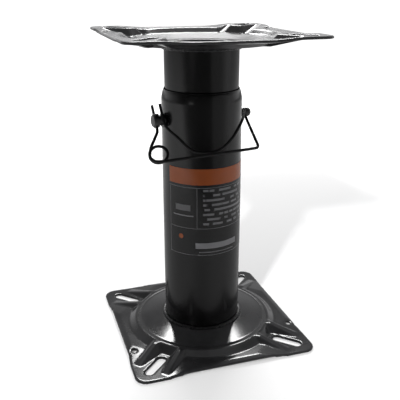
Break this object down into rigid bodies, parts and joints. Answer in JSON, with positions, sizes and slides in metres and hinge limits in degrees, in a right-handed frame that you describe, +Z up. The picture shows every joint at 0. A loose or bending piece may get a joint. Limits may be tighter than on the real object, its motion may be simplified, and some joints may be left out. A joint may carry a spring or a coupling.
{
  "type": "boat seat pedestal",
  "caption": "Telescoping boat seat pedestal: two pressed square steel plates on sliding round columns, locked by a cross pin with a wire bail.",
  "frame": {"origin": "middle of the base plate's underside, where the pedestal stands on the deck", "axes": "+Z up along the columns' axis; +X and +Y along the square plates' edges; the label faces -Y and the pin's head points to -X"},
  "size_m": [0.1796, 0.1796, 0.3005],
  "materials": {
    "black_paint": "gloss",
    "pin_finish": "satin",
    "guide_plastic": "satin",
    "label_film": "satin"
  },
  "bodies": {
    "base": {"base_plate": "black_paint", "base_weld": "black_paint", "lower_column": "black_paint", "mouth_bushing": "guide_plastic", "label": "label_film"},
    "column": {"upper_column": "black_paint", "foot_bushing": "guide_plastic", "seat_plate": "black_paint", "seat_weld": "black_paint"},
    "pin": {"lock_pin": "pin_finish"},
    "bail": {"bail_wire": "pin_finish"}
  },
  "joints": [
    {"name": "column_slide", "type": "slide", "parent": "base", "child": "column", "axis": [0, 0, 1], "range_m": [0, 0.1524]},
    {"name": "pin_pull", "type": "slide", "parent": "base", "child": "pin", "axis": [-0.9925, -0.1219, 0], "range_m": [0, 0.09]},
    {"name": "bail_swing", "type": "hinge", "parent": "pin", "child": "bail", "pos_m": [-0.04675, -0.00574, 0.2213], "axis": [0.0646, -0.526, -0.848], "range_deg": [0, 180]}
  ],
  "couplings": [
    {"joint": "bail_swing", "follows": "pin_pull", "rad_per_m": 34.9}
  ]
}
